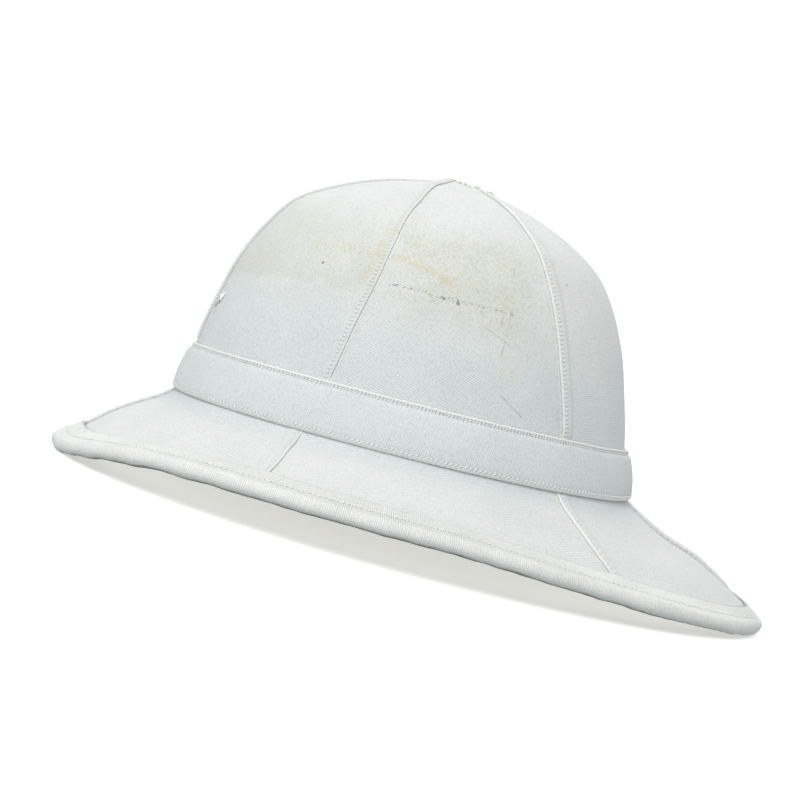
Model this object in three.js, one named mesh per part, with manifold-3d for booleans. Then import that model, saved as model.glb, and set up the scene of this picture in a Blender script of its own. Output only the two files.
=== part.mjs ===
import * as THREE from "three";
import { mergeVertices } from "three/addons/utils/BufferGeometryUtils.js";
import Module from "manifold-3d";

// A pith helmet lying on its own rim, in millimetres, +Z up. Its front points to -Y and the wearer's
// left to +X. The origin is on the surface that it lies on, under the middle of its box.

const wall = 3; // the pith with its cloth
const gap = 0.3; // left between one piece and the next

// A seam is a lap: one panel's folded edge lies on the next panel and stands up from it.
const lapHeight = 1.5;
const lapLip = 4; // how far the folded edge reaches over the next panel
const lapRidge = 8; // from the folded edge back to where the lap has died away
const lapFold = 0.6; // size of the folded edge's rounding
const lapSink = 1; // how deep a lap's root lies in its own panel
const lapFullWidth = 38; // half width of the hat from which a lap has its full size
const lapStop = 0.6; // a lap ends this far short of the band or the binding

const bandThin = 1.3; // the band's folded edges
const bandThick = 3.1; // the padded middle of the band
const bandFoldRow = 3; // from the band's edge to the middle of its folded edge
const bandGap = 0.45; // between the band and the panels behind it

const tape = 1.1; // thickness of the binding
const tapeGap = 0.6; // between the binding and the brim inside it
const beadRadius = 3.3; // the rounded rim
const panelSetback = 1.7; // from the bead's centre line back to the edge of the brim panels
const restArc = 7; // the front and back tips rest on the surface over this many degrees to each side

const ringSteps = 72; // facets round the band and the binding
const crownColumns = 5; // facets across the middle of one crown panel
const brimColumns = 9;
const leastFacet = 1; // no level is used that lies nearer than this to the end of a piece
const nearby = 0.5; // millimetres or degrees to each side of a place, to find slopes there

// The levels of the hat, from the vent at the top to the rim. Reaches are along Y, heights are those of
// the front and the back tip, and sideRise lifts the sides above the line between those two. The powers
// say how soon that lift dies away towards the tips. Seams are angles round from the front.
const levelColumns = [
  "frontY", "backY", "widestY", "halfWidth", "frontZ", "backZ",
  "sideRise", "frontPower", "backPower", "frontSeam", "backSeam",
];
const levelRows = {
  vent:        [   -28,    -7, -17.5,  10.5,   163, 162.6,    0,   2,   2,   53,    95],
  top:         [ -54.5,    15,   -14,    31, 155.8, 157.3,    0,   2,   2,   58,   101],
  dome:        [ -76.2,  35.9,   -12,  49.8, 146.6,   149,    0,   2,   2,   62,   107],
  shoulder:    [ -93.6,  52.6,   -12,  64.3, 135.2, 138.3,    0,   2,   2, 64.5, 110.5],
  upper:       [-103.5,  63.5,   -12,  72.9,   121, 124.7,    0,   2,   2, 64.5,   113],
  middle:      [-110.9,  71.7,   -12,  78.8,   105,   109,    0,   2,   2, 63.5,   115],
  lower:       [-115.8,  78.3,   -12,    83,    87,    91,    0,   2,   2, 62.5,   117],
  foot:        [-119.3,  83.8,   -12,  85.6,    70,    74,    0,   2,   2,   62, 118.5],
  bandTop:     [-120.6,  86.3,   -12,  86.8,  60.3,    65,    0,   2,   2, 61.5,   119],
  bandMiddle:  [-122.9,  90.4,   -12,  89.4,  48.5,  53.4,    0,   2,   2,   61,   119],
  bandFoot:    [  -125,  94.3,   -12,  91.6,  37.6,  42.6,    0,   2,   2, 60.5, 118.5],
  flare:       [-128.2,    99, -11.5,  94.8,  33.8,  38.6,  0.4, 2.5,   2, 60.5, 117.5],
  brimUpper:   [-137.7,   119,   -11, 103.2,  27.6,  28.4,  4.8,   3, 1.6,   61,   115],
  brimLower:   [-148.4,   141,   -10, 112.5,  20.2,    21,  6.6,   4, 1.4, 61.5,   114],
  bindingEdge: [-159.4, 163.5,  -9.5,   122,    11,   9.3,   11,   5, 1.2, 61.5,   115],
  rim:         [-169.9,   170,    -9, 136.6,   3.9,   4.2, 13.8, 6.5, 1.2, 61.5,   116],
};

// Going round from the front centre seam, by the wearer's left. A lapped edge lies over its neighbour.
const panels = [
  { side: "front_left", fromSeam: 0, toSeam: 1, lapFrom: false, lapTo: true },
  { side: "left", fromSeam: 1, toSeam: 2, lapFrom: false, lapTo: false },
  { side: "back_left", fromSeam: 2, toSeam: 3, lapFrom: true, lapTo: false },
  { side: "back_right", fromSeam: 3, toSeam: 4, lapFrom: true, lapTo: true },
  { side: "right", fromSeam: 4, toSeam: 5, lapFrom: false, lapTo: false },
  { side: "front_right", fromSeam: 5, toSeam: 6, lapFrom: true, lapTo: true },
];

const cloths = {
  crown: { color: 0xdde5e4, roughness: 0.9, metalness: 0 },
  brim: { color: 0xe2e6e4, roughness: 0.9, metalness: 0 },
  band: { color: 0xd3dedf, roughness: 0.85, metalness: 0 },
  binding: { color: 0xdbded8, roughness: 0.85, metalness: 0 },
};

const wasm = await Module();
wasm.setup();

// The hat's form. A place on it is how far down the side it lies from the vent's edge, in millimetres,
// and its angle round from the front.

const named = (values) => Object.fromEntries(levelColumns.map((column, i) => [column, values[i]]));
const levels = Object.values(levelRows).map(named);
const levelPlaces = [0];
for (let i = 1; i < levels.length; i++) {
  const across = levels[i].halfWidth - levels[i - 1].halfWidth;
  const down = sideHeight(levels[i]) - sideHeight(levels[i - 1]);
  levelPlaces.push(levelPlaces[i - 1] + Math.hypot(across, down));
}
const placeOf = Object.fromEntries(Object.keys(levelRows).map((name, i) => [name, levelPlaces[i]]));
const levelValues = Object.values(levelRows).flat();
const spline = new THREE.CubicInterpolant(levelPlaces, levelValues, levelColumns.length, []);

function sideHeight(level) {
  return (level.frontZ + level.backZ) / 2 + level.sideRise;
}

function levelAt(place) {
  return named(spline.evaluate(THREE.MathUtils.clamp(place, 0, placeOf.rim)));
}

function surfacePoint(place, angle) {
  const level = levelAt(place);
  const turn = THREE.MathUtils.degToRad(angle);
  const towardsFront = Math.cos(turn) >= 0;
  const tip = towardsFront ? level.frontY : level.backY;
  const y = level.widestY + (tip - level.widestY) * Math.abs(Math.cos(turn));
  const line = THREE.MathUtils.mapLinear(y, level.frontY, level.backY, level.frontZ, level.backZ);
  const power = towardsFront ? level.frontPower : level.backPower;
  const lift = level.sideRise * (1 - Math.cos(angleFromRest(angle)) ** power);
  return new THREE.Vector3(level.halfWidth * Math.sin(turn), y, line + lift);
}

// The angle from the nearer tip, which stays zero over the stretch that lies on the surface.
function angleFromRest(angle) {
  const fromTip = 90 - Math.abs(90 - (((angle % 180) + 180) % 180));
  const past = Math.max(0, fromTip - restArc) * (90 / (90 - restArc));
  return THREE.MathUtils.degToRad(past);
}

function surfaceNormal(place, angle) {
  const above = Math.max(0, place - nearby);
  const below = Math.min(placeOf.rim, place + nearby);
  const down = surfacePoint(below, angle).sub(surfacePoint(above, angle));
  const across = surfacePoint(place, angle + nearby).sub(surfacePoint(place, angle - nearby));
  return down.cross(across).normalize();
}

function offsetPoint(place, angle, offset) {
  return surfacePoint(place, angle).addScaledVector(surfaceNormal(place, angle), offset);
}

// Seam 0 is the front centre, 3 the back centre and 6 the front centre again.
function seamAngle(seam, place) {
  const { frontSeam, backSeam } = levelAt(place);
  return [0, frontSeam, backSeam, 180, 360 - backSeam, 360 - frontSeam, 360][seam];
}

function lapScale(place) {
  return Math.min(1, levelAt(place).halfWidth / lapFullWidth);
}

// The angle of the line that runs a distance to one side of a seam. The distance shrinks with the lap
// towards the vent, and the extra one doesn't.
function besideSeam(seam, place, distance, extra = 0) {
  const angle = seamAngle(seam, place);
  const before = surfacePoint(place, angle - nearby);
  const perDegree = surfacePoint(place, angle + nearby).distanceTo(before) / (2 * nearby);
  return angle + (distance * lapScale(place) + extra) / perDegree;
}

// Joins a row of outlines, each anticlockwise as seen from the next, into one closed solid. The end
// faces are triangles of an outline's own points, and a ring without them joins its last outline to
// its first.
function loft(outlines, endFaces) {
  const count = outlines[0].length;
  const last = outlines.length - 1;
  const faces = [];
  for (let i = 0; i < (endFaces ? last : last + 1); i++) {
    const next = (i + 1) % outlines.length;
    for (let j = 0; j < count; j++) {
      const k = (j + 1) % count;
      faces.push(i * count + j, i * count + k, next * count + k);
      faces.push(i * count + j, next * count + k, next * count + j);
    }
  }
  for (const [a, b, c] of endFaces ?? []) {
    faces.push(a, c, b);
    faces.push(last * count + a, last * count + b, last * count + c);
  }
  const positions = outlines.flat().flatMap((point) => point.toArray());
  const geometry = new THREE.BufferGeometry();
  geometry.setAttribute("position", new THREE.Float32BufferAttribute(positions, 3));
  geometry.setIndex(faces);
  return geometry;
}

function toSolid(geometry) {
  const merged = mergeVertices(geometry);
  const vertProperties = new Float32Array(merged.attributes.position.array);
  const triVerts = new Uint32Array(merged.index.array);
  return new wasm.Manifold(new wasm.Mesh({ numProp: 3, vertProperties, triVerts }));
}

function toGeometry(solid) {
  const { vertProperties, triVerts } = solid.getMesh();
  const geometry = new THREE.BufferGeometry();
  geometry.setAttribute("position", new THREE.Float32BufferAttribute(vertProperties, 3));
  geometry.setIndex(Array.from(triVerts));
  return geometry;
}

function finish(name, geometry, cloth) {
  const flat = geometry.toNonIndexed();
  flat.computeVertexNormals();
  const mesh = new THREE.Mesh(flat, new THREE.MeshStandardMaterial(cloths[cloth]));
  mesh.name = name;
  return mesh;
}

// The wall of one panel between its two seams. Under a neighbour's lap it reaches past the seam.
function panelWall(panel, places, columnCount) {
  const anglesAt = (place) => {
    const start = panel.lapFrom
      ? besideSeam(panel.fromSeam, place, lapLip)
      : besideSeam(panel.fromSeam, place, -lapLip, gap);
    const end = panel.lapTo
      ? besideSeam(panel.toSeam, place, -lapLip)
      : besideSeam(panel.toSeam, place, lapLip, -gap);
    const inStart = besideSeam(panel.fromSeam, place, lapRidge);
    const inEnd = besideSeam(panel.toSeam, place, -lapRidge);
    const angles = [start];
    for (let i = 0; i <= columnCount; i++) {
      angles.push(THREE.MathUtils.lerp(inStart, inEnd, i / columnCount));
    }
    angles.push(end);
    return angles;
  };
  const outlines = places.map((place) => {
    const angles = anglesAt(place);
    const inner = angles.map((angle) => offsetPoint(place, angle, -wall));
    const outer = angles.map((angle) => offsetPoint(place, angle, 0)).reverse();
    return [...inner, ...outer];
  });
  const across = columnCount + 2;
  const endFaces = [];
  for (let i = 0; i < across; i++) {
    const outer = 2 * across + 1 - i;
    endFaces.push([i, i + 1, outer - 1], [i, outer - 1, outer]);
  }
  return loft(outlines, endFaces);
}

// The folded edge of a panel, lying over the next one. It runs to the seam from its own panel's side,
// which is -1 where angles are smaller and 1 where they are larger.
function lap(seam, side, places) {
  const section = [
    { inward: lapRidge, offset: -lapSink },
    { inward: lapLip + gap, offset: -lapSink },
    { inward: lapLip + gap, offset: gap },
    { inward: 0, offset: gap },
    { inward: 0, offset: lapHeight - lapFold },
    { inward: lapFold, offset: lapHeight },
    { inward: lapLip + gap, offset: lapHeight },
    { inward: lapRidge, offset: -gap },
  ];
  const flat = section.map(({ inward, offset }) => new THREE.Vector2(side * inward, offset));
  const outlines = places.map((place) => {
    const height = (1 + lapScale(place)) / 2;
    return section.map(({ inward, offset }) => {
      const raised = offset > gap ? Math.max(offset * height, 2 * gap) : offset;
      return offsetPoint(place, besideSeam(seam, place, side * inward), raised);
    });
  });
  if (side > 0) {
    flat.reverse();
    outlines.forEach((outline) => outline.reverse());
  }
  return loft(outlines, THREE.ShapeUtils.triangulateShape(flat, []));
}

function panelMesh(prefix, panel, wallPlaces, lapPlaces, columnCount) {
  let solid = toSolid(panelWall(panel, wallPlaces, columnCount));
  if (panel.lapFrom) solid = solid.add(toSolid(lap(panel.fromSeam, 1, lapPlaces)));
  if (panel.lapTo) solid = solid.add(toSolid(lap(panel.toSeam, -1, lapPlaces)));
  return finish(prefix + panel.side, toGeometry(solid), prefix.split("_")[0]);
}

// The levels between two places, with those two at the ends.
function placesBetween(start, end) {
  const inside = levelPlaces.filter((place) => place > start + leastFacet && place < end - leastFacet);
  return [start, ...inside, end];
}

const joint = placeOf.bandMiddle; // the crown and the brim meet here, behind the band

function crown() {
  const group = new THREE.Group();
  const wallPlaces = placesBetween(0, joint - gap / 2);
  const lapPlaces = placesBetween(0, placeOf.bandTop - lapStop);
  for (const panel of panels) {
    group.add(panelMesh("crown_panel_", panel, wallPlaces, lapPlaces, crownColumns));
  }
  return group;
}

function brim() {
  const group = new THREE.Group();
  const wallPlaces = placesBetween(joint + gap / 2, placeOf.rim - panelSetback);
  const lapPlaces = placesBetween(placeOf.flare, placeOf.bindingEdge - lapStop);
  for (const panel of panels) {
    group.add(panelMesh("brim_panel_", panel, wallPlaces, lapPlaces, brimColumns));
  }
  return group;
}

function ringOf(outlineAt) {
  const outlines = [];
  for (let i = 0; i < ringSteps; i++) {
    outlines.push(outlineAt((360 * i) / ringSteps));
  }
  return loft(outlines);
}

function hatBand() {
  const { bandTop, bandMiddle, bandFoot } = placeOf;
  const section = [
    { place: bandTop, thickness: 0 },
    { place: bandTop, thickness: bandThin },
    { place: bandTop + bandFoldRow, thickness: (bandThin + bandThick) / 2 },
    { place: bandMiddle, thickness: bandThick },
    { place: bandFoot - bandFoldRow, thickness: bandThick },
    { place: bandFoot - gap, thickness: (bandThin + bandThick) / 2 },
    { place: bandFoot - gap, thickness: 0 },
    { place: bandMiddle, thickness: 0 },
  ];
  const geometry = ringOf((angle) =>
    section.map(({ place, thickness }) => offsetPoint(place, angle, bandGap + thickness)),
  );
  return finish("hat_band", geometry, "band");
}

function brimBinding() {
  const edge = placeOf.bindingEdge;
  const slotEnd = placeOf.rim - panelSetback + tapeGap;
  const beadAngles = [90, 60, 30, 0, -30, -60, -90];
  const geometry = ringOf((angle) => {
    const normal = surfaceNormal(placeOf.rim, angle);
    const outwards = surfacePoint(placeOf.rim, angle).sub(surfacePoint(edge, angle));
    outwards.addScaledVector(normal, -outwards.dot(normal)).normalize();
    const centre = offsetPoint(placeOf.rim, angle, -wall / 2);
    const bead = beadAngles.map((turn) => {
      const radians = THREE.MathUtils.degToRad(turn);
      const point = centre.clone().addScaledVector(normal, beadRadius * Math.sin(radians));
      return point.addScaledVector(outwards, beadRadius * Math.cos(radians));
    });
    const outline = [
      offsetPoint(edge, angle, tapeGap),
      offsetPoint(edge, angle, tapeGap + tape),
      ...bead,
      offsetPoint(edge, angle, -wall - tapeGap - tape),
      offsetPoint(edge, angle, -wall - tapeGap),
      offsetPoint(slotEnd, angle, -wall - tapeGap),
      offsetPoint(slotEnd, angle, tapeGap),
    ];
    outline.forEach((point) => (point.z = Math.max(0, point.z)));
    return outline;
  });
  return finish("brim_binding", geometry, "binding");
}

const helmet = new THREE.Group();
helmet.name = "pith_helmet";
helmet.add(crown(), brim(), hatBand(), brimBinding());

export default helmet;
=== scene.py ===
import math
import random

import bmesh
import bpy
import numpy as np
from mathutils import Matrix, Vector, noise


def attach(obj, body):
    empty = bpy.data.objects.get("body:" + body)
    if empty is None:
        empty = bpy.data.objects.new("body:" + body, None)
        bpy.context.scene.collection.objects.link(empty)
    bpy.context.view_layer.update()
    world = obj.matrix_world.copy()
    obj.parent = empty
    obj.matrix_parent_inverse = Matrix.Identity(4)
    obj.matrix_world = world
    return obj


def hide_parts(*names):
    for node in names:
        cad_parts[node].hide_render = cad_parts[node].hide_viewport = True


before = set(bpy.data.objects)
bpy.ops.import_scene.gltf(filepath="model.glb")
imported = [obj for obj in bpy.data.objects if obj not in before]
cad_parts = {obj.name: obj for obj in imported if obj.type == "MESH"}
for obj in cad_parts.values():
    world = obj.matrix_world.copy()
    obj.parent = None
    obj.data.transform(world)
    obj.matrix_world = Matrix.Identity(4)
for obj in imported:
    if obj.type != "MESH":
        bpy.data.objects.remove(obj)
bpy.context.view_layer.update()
mm = 0.001
random.seed(7)  # the same stitches and threads each run

# The hat's form, in millimetres and degrees, level by level from the vent's edge down to the rim.
# Reaches are along Y, heights are those of the front and the back tip, and sideRise lifts the sides
# above the line between those two. The powers say how soon that lift dies away towards the tips.
levelColumns = [
    "frontY", "backY", "widestY", "halfWidth", "frontZ", "backZ",
    "sideRise", "frontPower", "backPower", "frontSeam", "backSeam",
]
levelRows = {
    "vent": (-28, -7, -17.5, 10.5, 163, 162.6, 0, 2, 2, 44, 95),
    "top": (-54.5, 15, -14, 31, 155.8, 157.3, 0, 2, 2, 55.8, 100.5),
    "dome": (-76.2, 35.9, -12, 49.8, 146.6, 149, 0, 2, 2, 61, 104.3),
    "shoulder": (-93.6, 52.6, -12, 64.3, 135.2, 138.3, 0, 2, 2, 62.8, 108),
    "upper": (-103.5, 63.5, -12, 72.9, 121, 124.7, 0, 2, 2, 63.5, 111.2),
    "middle": (-110.9, 71.7, -12, 78.8, 105, 109, 0, 2, 2, 63.5, 114),
    "lower": (-115.8, 78.3, -12, 83, 87, 91, 0, 2, 2, 62.3, 116.7),
    "foot": (-119.3, 83.8, -12, 85.6, 70, 74, 0, 2, 2, 61.5, 119),
    "bandTop": (-120.6, 86.3, -12, 86.8, 60.3, 65, 0, 2, 2, 60.8, 119.9),
    "bandMiddle": (-122.9, 90.4, -12, 89.4, 48.5, 53.4, 0, 2, 2, 60, 119.8),
    "bandFoot": (-125, 94.3, -12, 91.6, 37.6, 42.6, 0, 2, 2, 59, 119.6),
    "flare": (-128.2, 99, -11.5, 94.8, 33.8, 38.6, 0.4, 2.5, 2, 59.1, 118.8),
    "brimUpper": (-137.7, 119, -11, 103.2, 27.6, 28.4, 4.8, 3, 1.6, 60.1, 116.6),
    "brimLower": (-148.4, 141, -10, 112.5, 20.2, 21, 6.6, 4, 1.4, 60.8, 114.8),
    "bindingEdge": (-159.4, 163.5, -9.5, 122, 11, 9.3, 11, 5, 1.2, 61.2, 114.8),
    "rim": (-169.9, 170, -9, 136.6, 3.9, 4.2, 13.8, 6.5, 1.2, 61.5, 116),
}
form = {
    "wall": 3,
    "gap": 0.3,
    "restArc": 7,  # degrees to each side of a tip over which the rim lies on the floor
    "lapFullWidth": 38,  # half width of the hat from which a lap has its full size
    "nearby": 0.5,  # step for slopes, in millimetres or degrees
    "brimEnd": 1.7,  # how far the brim's cloth ends before the rim
    "far": 20,  # what a mark says where its seam or row is far away
}
wave = {"large": 0.22, "largeSize": 34, "small": 0.07, "smallSize": 9}  # unevenness of the cloth


def runningSum(steps):
    return np.concatenate([[0], np.cumsum(steps)])


levelValues = np.array(list(levelRows.values()), float)
sideHeights = (levelValues[:, 4] + levelValues[:, 5]) / 2 + levelValues[:, 6]
levelSteps = np.hypot(np.diff(levelValues[:, 3]), np.diff(sideHeights))
levelPlaces = runningSum(levelSteps)
placeOf = dict(zip(levelRows, levelPlaces))
chords = np.diff(levelValues, axis=0) / levelSteps[:, None]
levelSlopes = np.concatenate([chords[:1], (chords[1:] + chords[:-1]) / 2, chords[-1:]])


def levelAt(place):
    place = np.clip(place, 0, levelPlaces[-1])
    i = np.clip(np.searchsorted(levelPlaces, place, side="right") - 1, 0, len(levelPlaces) - 2)
    span = (levelPlaces[i + 1] - levelPlaces[i])[..., None]
    t = (place - levelPlaces[i])[..., None] / span
    start = (1 + 2 * t) * (1 - t) ** 2 * levelValues[i] + t * (1 - t) ** 2 * span * levelSlopes[i]
    end = t * t * (3 - 2 * t) * levelValues[i + 1] - t * t * (1 - t) * span * levelSlopes[i + 1]
    return {column: (start + end)[..., k] for k, column in enumerate(levelColumns)}


def angleFromRest(angle):
    fromTip = 90 - np.abs(90 - np.mod(angle, 180))
    return np.radians(np.maximum(0, fromTip - form["restArc"]) * 90 / (90 - form["restArc"]))


# A place is how far down the side a point lies from the vent's edge, an angle how far round from the front
def surfacePoint(place, angle):
    place, angle = np.broadcast_arrays(np.asarray(place, float), np.asarray(angle, float))
    level = levelAt(place)
    turn = np.radians(angle)
    front = np.cos(turn) >= 0
    tip = np.where(front, level["frontY"], level["backY"])
    y = level["widestY"] + (tip - level["widestY"]) * np.abs(np.cos(turn))
    along = (y - level["frontY"]) / (level["backY"] - level["frontY"])
    line = level["frontZ"] + (level["backZ"] - level["frontZ"]) * along
    power = np.where(front, level["frontPower"], level["backPower"])
    lift = level["sideRise"] * (1 - np.maximum(0, np.cos(angleFromRest(angle))) ** power)
    return np.stack([level["halfWidth"] * np.sin(turn), y, line + lift], -1)


def surfaceNormal(place, angle):
    place, angle = np.asarray(place, float), np.asarray(angle, float)
    step = form["nearby"]
    down = surfacePoint(np.minimum(place + step, levelPlaces[-1]), angle)
    down = down - surfacePoint(np.maximum(place - step, 0), angle)
    across = surfacePoint(place, angle + step) - surfacePoint(place, angle - step)
    normal = np.cross(down, across)
    return normal / np.linalg.norm(normal, axis=-1, keepdims=True)


def offsetPoint(place, angle, offset):
    offset = np.asarray(offset, float)[..., None]
    return surfacePoint(place, angle) + surfaceNormal(place, angle) * offset


def seamAngle(seam, place):
    level = levelAt(place)
    front, back = level["frontSeam"], level["backSeam"]
    return [0 * front, front, back, 0 * front + 180, 360 - back, 360 - front, 0 * front + 360][seam]


def lapScale(place):
    return np.minimum(1, levelAt(place)["halfWidth"] / form["lapFullWidth"])


def perDegree(place, angle):
    step = form["nearby"]
    ends = surfacePoint(place, angle + step) - surfacePoint(place, angle - step)
    return np.linalg.norm(ends, axis=-1) / (2 * step)


def besideSeam(seam, place, distance, extra=0):
    angle = seamAngle(seam, place)
    return angle + (distance * lapScale(place) + extra) / perDegree(place, angle)


def smooth(low, high, value):
    t = np.clip((value - low) / (high - low), 0, 1)
    return t * t * (3 - 2 * t)


def unevenness(points):
    values = np.empty(points.shape[:-1])
    flat = values.reshape(-1)
    for i, point in enumerate(points.reshape(-1, 3)):
        flat[i] = wave["large"] * noise.noise(Vector(point / wave["largeSize"]))
        flat[i] += wave["small"] * noise.noise(Vector(point / wave["smallSize"]))
    return values


# Unevenness round the hat that comes back to its start
def noiseRound(turns, size, height):
    points = [Vector((math.cos(turn) * size, math.sin(turn) * size, height)) for turn in turns]
    return np.array([noise.noise(point) for point in points])


# A closed section: out along its top and back along its underside
def loopOf(top, low):
    return np.concatenate([top, low[:, ::-1], top[:, :1]], axis=1)


# Top and underside are brought together where closing is 0
def pinch(top, low, closing):
    half = (top + low) / 2
    return half + (top - half) * closing, half + (low - half) * closing


# A grid of rows and columns whose points are laid on the hat, its doubled edges merged
def gridMesh(name, points, cloth, marks):
    rows, columns = points.shape[:2]
    bm = bmesh.new()
    bmesh.ops.create_grid(bm, x_segments=columns - 1, y_segments=rows - 1, size=1)
    mesh = bpy.data.meshes.new(name)
    bm.to_mesh(mesh)
    flat = np.empty(len(mesh.vertices) * 3, np.float32)
    mesh.vertices.foreach_get("co", flat)
    flat = flat.reshape(-1, 3)
    column = np.rint((flat[:, 0] + 1) / 2 * (columns - 1)).astype(int)
    row = np.rint((flat[:, 1] + 1) / 2 * (rows - 1)).astype(int)
    mesh.vertices.foreach_set("co", (points[row, column] * mm).astype(np.float32).ravel())
    corners = np.empty(len(mesh.loops), np.int32)
    mesh.loops.foreach_get("vertex_index", corners)
    layer = mesh.uv_layers.new(name="cloth")
    layer.data.foreach_set("uv", cloth[row[corners], column[corners]].astype(np.float32).ravel())
    for markName, values in marks.items():
        mark = mesh.attributes.new(markName, "FLOAT", "POINT")
        mark.data.foreach_set("value", values[row, column].astype(np.float32))
    bm.clear()
    bm.from_mesh(mesh)
    bmesh.ops.remove_doubles(bm, verts=bm.verts, dist=0.002 * mm)
    bmesh.ops.recalc_face_normals(bm, faces=bm.faces)
    for face in bm.faces:
        face.smooth = True
    bm.to_mesh(mesh)
    bm.free()
    return mesh


def meshFrom(bm, name):
    mesh = bpy.data.meshes.new(name)
    bm.to_mesh(mesh)
    bm.free()
    return mesh


def addObject(name, data):
    made = bpy.data.objects.new(name, data)
    bpy.context.scene.collection.objects.link(made)
    return made


def addPiece(name, mesh, material, nodes=()):
    piece = addObject(name, mesh)
    mesh.materials.append(material)
    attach(piece, "root")
    if nodes:
        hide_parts(*nodes)
    return piece


# Materials

class Wire:  # a shader socket that can be used in sums
    def __init__(self, shader, socket):
        self.shader = shader
        self.socket = socket

    def math(self, operation, *others):
        return self.shader.math(operation, self, *others)

    def __abs__(self):
        return self.math("ABSOLUTE")

    def __add__(self, other):
        return self.math("ADD", other)

    def __sub__(self, other):
        return self.math("SUBTRACT", other)

    def __mul__(self, other):
        return self.math("MULTIPLY", other)

    def __radd__(self, other):
        return self.shader.math("ADD", other, self)

    def __rsub__(self, other):
        return self.shader.math("SUBTRACT", other, self)

    def __rmul__(self, other):
        return self.shader.math("MULTIPLY", other, self)


class Shader:
    def __init__(self, name):
        self.material = bpy.data.materials.new(name)
        self.material.use_nodes = True
        self.tree = self.material.node_tree
        self.tree.nodes.clear()

    def node(self, kind, settings=None, sockets=None, output=0):
        made = self.tree.nodes.new("ShaderNode" + kind)
        for key, value in (settings or {}).items():
            setattr(made, key, value)
        for key, value in (sockets or {}).items():
            if isinstance(value, Wire):
                self.tree.links.new(value.socket, made.inputs[key])
            else:
                made.inputs[key].default_value = value
        return Wire(self, made.outputs[output]) if made.outputs else made

    def math(self, operation, *values):
        return self.node("Math", {"operation": operation}, dict(enumerate(values)))

    def step(self, low, high, value):
        sockets = {"Value": value, "From Min": low, "From Max": high}
        return self.node("MapRange", {"interpolation_type": "SMOOTHSTEP"}, sockets)

    def vector(self, operation, first, second, output=0):
        return self.node("VectorMath", {"operation": operation}, {0: first, 1: second}, output)

    def place(self):
        return self.node("TexCoord", output="Object")

    # how far across and down the cloth a point lies, in millimetres
    def clothMap(self):
        split = self.node("SeparateXYZ", None, {0: self.node("UVMap", {"uv_map": "cloth"})})
        return [Wire(self, split.socket.node.outputs[k]) for k in range(2)]

    def mark(self, name):
        return self.node("Attribute", {"attribute_name": name}, output="Fac")

    def noise(self, size, detail=3, roughness=0.5):
        sockets = {"Vector": self.place(), "Scale": 1 / (size * mm), "Detail": detail, "Roughness": roughness}
        return self.node("TexNoise", None, sockets)

    # blotches with soft edges, between two values of a noise
    def blotches(self, size, low, high, detail=4, roughness=0.7):
        return self.step(low, high, self.noise(size, detail, roughness))

    def mix(self, factor, first, second, blend="MIX"):
        settings = {"data_type": "RGBA", "blend_type": blend}
        return self.node("Mix", settings, {0: factor, 6: first, 7: second}, output=2)

    def cover(self, color, amount, name):
        return self.mix(amount, color, clothLook[name])

    def darken(self, color, amount, name):
        return self.mix(amount, color, clothLook[name], "MULTIPLY")

    # how near a point of the hat lies to a spot on it, 1 at its middle and 0 outside
    def spot(self, place, angle, radius, soft=0.5):
        middle = surfacePoint(place, angle) * mm
        away = self.vector("DISTANCE", self.place(), Vector(middle), output=1)
        return self.step(radius * mm, radius * (1 - soft) * mm, away)

    # a mark along the straight line between two places, width to each side of it
    def streak(self, start, end, width):
        first, last = surfacePoint(*start) * mm, surfacePoint(*end) * mm
        length = np.linalg.norm(last - first)
        run = Vector((last - first) / length)
        away = self.vector("SUBTRACT", self.place(), Vector((first + last) / 2))
        along = self.vector("DOT_PRODUCT", away, run, output=1)
        total = self.vector("LENGTH", away, (0, 0, 0), output=1)
        across = self.math("SQRT", self.math("MAXIMUM", total * total - along * along, 0.0))
        inside = self.step(width * mm, width * 0.3 * mm, across)
        return inside * self.step(length * 0.55, length * 0.4, abs(along))

    # painted shade in the holes, and the puckers, of a row of stitches, from places along it and distances
    # beside it
    def sewn(self, along, beside, pitch, reach=1.5):
        beat = self.math("COSINE", along * (2 * math.pi / pitch))
        beside = abs(beside)
        holes = self.step(0.55, 0.2, beside) * self.step(0.1, 0.75, beat)
        return holes, self.step(reach, 0.1, beside) * (0.5 - beat * 0.5)

    def surface(self, color, roughness, bumps):
        normal = None
        for height, distance, strength in bumps:
            sockets = {"Height": height, "Distance": distance * mm, "Strength": strength}
            if normal:
                sockets["Normal"] = normal
            normal = self.node("Bump", None, sockets)
        return self.finish(clothShine | {"Base Color": color, "Roughness": roughness, "Normal": normal})

    def finish(self, sockets):
        body = self.node("BsdfPrincipled", None, sockets)
        self.node("OutputMaterial", None, {"Surface": body})
        return self.material


clothShine = {"Sheen Weight": 0.12, "Sheen Roughness": 0.5, "Specular IOR Level": 0.25}
clothLook = {
    "white": (0.80, 0.808, 0.80, 1),
    # coolTintAndShade: a cool tint for random mottling, and painted shade low on the crown, under the band
    # and beside stitch rows
    "coolTintAndShade": (0.70, 0.745, 0.75, 1),
    "stain": (0.91, 0.90, 0.82, 1),  # stains darken the cloth by these
    "yellow": (0.97, 0.89, 0.70, 1),
    # dark specks of dirt, also painted shadow of the vent's hole showing through its ragged edge
    "speckAndShade": (0.26, 0.25, 0.19, 1),
    # painted shade in the weave's grooves, also used for the grain of nap and slubs
    "grooveShadeAndGrain": (0.70, 0.725, 0.73, 1),
    # painted shade: the dark in stitch holes and at the step of the binding's edge
    "hole": (0.52, 0.55, 0.55, 1),
    # painted shade in the slit below the tear
    "slitShade": (0.60, 0.63, 0.63, 1),
    # painted highlight on folded edges: the seams' laps and the band's edges
    "foldHighlight": (0.90, 0.90, 0.885, 1),
    "inside": (0.60, 0.58, 0.50, 1),
    # painted shadow inside the tear's hole
    "depth": (0.06, 0.065, 0.05, 1),
    "torn": (0.95, 0.95, 0.94, 1),
}
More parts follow.
